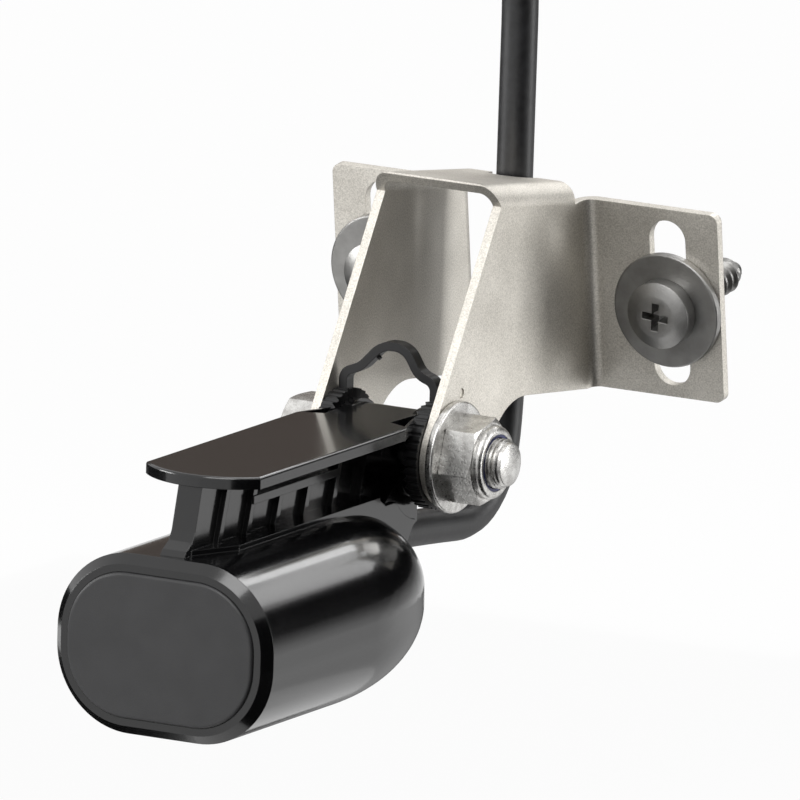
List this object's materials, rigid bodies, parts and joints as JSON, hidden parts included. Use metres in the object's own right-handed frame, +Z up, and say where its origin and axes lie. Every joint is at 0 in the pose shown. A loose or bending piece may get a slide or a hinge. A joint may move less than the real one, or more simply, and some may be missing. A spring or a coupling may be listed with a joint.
{
  "type": "sonar transducer",
  "caption": "Transom-mount skimmer sonar transducer: black bullet body that tilts in a folded stainless hood bracket with slotted ears, with its screws, cable and plug.",
  "frame": {"origin": "on the flat face of the bracket's ears that rests on the transom, midway between the centres of the two slots", "axes": "+Y forward, towards the boat; +Z up; +X to the right, seen from behind the boat. The bolt lies along X, below and behind the origin."},
  "size_m": [0.1301, 0.1337, 0.2214],
  "materials": {
    "blasted_stainless": "bead-blasted stainless sheet, satin and grainy",
    "machined_stainless": "turned and cold-formed stainless, fairly bright",
    "nylon_blue": "dark blue nylon locking ring",
    "gloss_black_plastic": "glossy moulded black plastic",
    "matte_black_plastic": "matt moulded black plastic",
    "cable_jacket": "satin black cable jacket",
    "potting_resin": "cast dark resin",
    "piezo_ceramic": "fired ceramic with a thin metal coat",
    "cork": "pressed cork",
    "sensor_epoxy": "dipped epoxy bead",
    "lead_insulation": "thin extruded insulation",
    "plated_pins": "gold-coloured plating"
  },
  "bodies": {
    "bracket": {"bracket": "blasted_stainless", "pivot_bolt": "machined_stainless", "pivot_washer": "machined_stainless", "lock_nut": "machined_stainless", "nut_insert": "nylon_blue", "mounting_screws": "machined_stainless", "screw_washers": "machined_stainless", "cable": "cable_jacket", "cable_coil": "cable_jacket", "cable_tail": "cable_jacket", "coil_ties": "matte_black_plastic", "plug_strain_relief": "cable_jacket", "plug_body": "matte_black_plastic", "plug_collar": "matte_black_plastic", "plug_pins": "plated_pins"},
    "transducer": {"ratchet_pair": "matte_black_plastic", "housing": "gloss_black_plastic", "end_cap": "matte_black_plastic", "potting": "potting_resin", "piezo_disc": "piezo_ceramic", "cork_backing": "cork", "temperature_sensor": "sensor_epoxy", "lead_wires": "lead_insulation"}
  },
  "joints": [
    {"name": "tilt", "type": "hinge", "parent": "bracket", "child": "transducer", "pos_m": [0, -0.04385, -0.01925], "axis": [1, 0, 0], "range_deg": [-45, 20], "deforming": ["cable"]}
  ]
}
